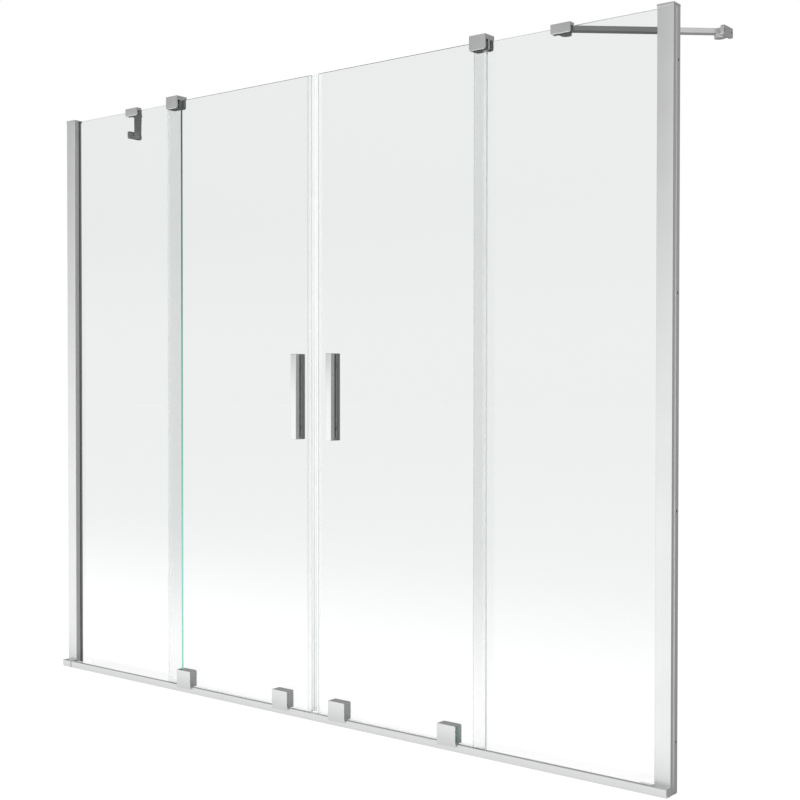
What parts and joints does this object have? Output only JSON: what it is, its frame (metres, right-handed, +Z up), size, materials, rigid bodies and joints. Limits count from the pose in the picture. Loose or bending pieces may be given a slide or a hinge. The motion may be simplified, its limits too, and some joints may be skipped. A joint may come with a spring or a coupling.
{
  "type": "sliding bath screen",
  "caption": "Bath screen of fixed glass panes and sliding glass doors that roll on a bottom rail, held by wall profiles, top guides and angled support arms.",
  "frame": {"origin": "underside of the bottom rail, midway between the walls, below the front face of the door glass", "axes": "+X along the screen to the right as seen from the room, +Y into the bath, +Z up"},
  "size_m": [1.79, 0.2992, 1.51],
  "materials": {
    "anodised_aluminium": "satin anodised",
    "satin_metal": "satin, finely brushed",
    "screw_steel": "machined",
    "clear_glass": "clear, with green polished edges",
    "clear_seal": "clear, slightly milky",
    "grey_gasket": "matt",
    "white_nylon": "moulded",
    "dark_nylon": "moulded",
    "magnet": "matt, pale"
  },
  "bodies": {
    "frame": {"bottom_rail": "anodised_aluminium", "rail_end_cap_left": "satin_metal", "rail_end_cap_right": "satin_metal", "pane_seats": "grey_gasket", "door_stops": "grey_gasket", "wall_channel_left": "anodised_aluminium", "wall_channel_right": "anodised_aluminium", "glass_profile_left": "anodised_aluminium", "glass_profile_right": "anodised_aluminium", "profile_cap_left": "satin_metal", "profile_cap_right": "satin_metal", "profile_gaskets": "grey_gasket", "profile_screws": "screw_steel", "fixed_pane_left": "clear_glass", "fixed_pane_right": "clear_glass", "top_guide_left": "satin_metal", "top_guide_right": "satin_metal", "guide_liners": "dark_nylon", "guide_screws": "screw_steel", "arm_clamp_left": "satin_metal", "arm_clamp_right": "satin_metal", "clamp_pads": "grey_gasket", "clamp_screws": "screw_steel", "clamp_pins": "screw_steel"},
    "arm_left": {"support_arm_left": "satin_metal"},
    "flange_left": {"wall_flange_left": "satin_metal", "flange_pin_left": "screw_steel"},
    "door_left": {"door_pane_left": "clear_glass", "meeting_seal_left": "clear_seal", "magnet_strip_left": "magnet", "edge_seal_left": "clear_seal", "bottom_seal_left": "clear_seal", "outer_handle_left": "satin_metal", "inner_handle_left": "satin_metal", "door_pads_left": "grey_gasket", "door_screws_left": "screw_steel", "inner_box_left": "satin_metal", "outer_box_left": "satin_metal", "box_back_plates_left": "satin_metal", "roller_axles_left": "screw_steel"},
    "inner_roller_body_left": {"inner_roller_left": "white_nylon"},
    "outer_roller_body_left": {"outer_roller_left": "white_nylon"},
    "arm_right": {"support_arm_right": "satin_metal"},
    "flange_right": {"wall_flange_right": "satin_metal", "flange_pin_right": "screw_steel"},
    "door_right": {"door_pane_right": "clear_glass", "meeting_seal_right": "clear_seal", "magnet_strip_right": "magnet", "edge_seal_right": "clear_seal", "bottom_seal_right": "clear_seal", "outer_handle_right": "satin_metal", "inner_handle_right": "satin_metal", "door_pads_right": "grey_gasket", "door_screws_right": "screw_steel", "inner_box_right": "satin_metal", "outer_box_right": "satin_metal", "box_back_plates_right": "satin_metal", "roller_axles_right": "screw_steel"},
    "inner_roller_body_right": {"inner_roller_right": "white_nylon"},
    "outer_roller_body_right": {"outer_roller_right": "white_nylon"}
  },
  "joints": [
    {"name": "left_door_slide", "type": "slide", "parent": "frame", "child": "door_left", "axis": [-1, 0, 0], "range_m": [0, 0.35]},
    {"name": "left_inner_roller_spin", "type": "hinge", "parent": "door_left", "child": "inner_roller_body_left", "pos_m": [-0.084, -0.015, 0.0296], "axis": [0, 1, 0], "continuous": true},
    {"name": "left_outer_roller_spin", "type": "hinge", "parent": "door_left", "child": "outer_roller_body_left", "pos_m": [-0.4105, -0.015, 0.0296], "axis": [0, 1, 0], "continuous": true},
    {"name": "left_arm_swivel", "type": "hinge", "parent": "frame", "child": "arm_left", "pos_m": [-0.641, 0.037, 1.4923], "axis": [0, 0, 1], "range_deg": [-45, 12]},
    {"name": "left_flange_swivel", "type": "hinge", "parent": "arm_left", "child": "flange_left", "pos_m": [-0.877, 0.24564, 1.4923], "axis": [0, 0, 1], "range_deg": [-60, 45]},
    {"name": "right_door_slide", "type": "slide", "parent": "frame", "child": "door_right", "axis": [1, 0, 0], "range_m": [0, 0.35]},
    {"name": "right_inner_roller_spin", "type": "hinge", "parent": "door_right", "child": "inner_roller_body_right", "pos_m": [0.09, -0.015, 0.0296], "axis": [0, 1, 0], "continuous": true},
    {"name": "right_outer_roller_spin", "type": "hinge", "parent": "door_right", "child": "outer_roller_body_right", "pos_m": [0.394, -0.015, 0.0296], "axis": [0, 1, 0], "continuous": true},
    {"name": "right_arm_swivel", "type": "hinge", "parent": "frame", "child": "arm_right", "pos_m": [0.646, 0.037, 1.4923], "axis": [0, 0, 1], "range_deg": [-12, 45]},
    {"name": "right_flange_swivel", "type": "hinge", "parent": "arm_right", "child": "flange_right", "pos_m": [0.877, 0.25116, 1.4923], "axis": [0, 0, 1], "range_deg": [-45, 60]}
  ],
  "couplings": [
    {"joint": "left_inner_roller_spin", "follows": "left_door_slide", "rad_per_m": -83.333},
    {"joint": "left_outer_roller_spin", "follows": "left_door_slide", "rad_per_m": -83.333},
    {"joint": "right_inner_roller_spin", "follows": "right_door_slide", "rad_per_m": 83.333},
    {"joint": "right_outer_roller_spin", "follows": "right_door_slide", "rad_per_m": 83.333}
  ]
}
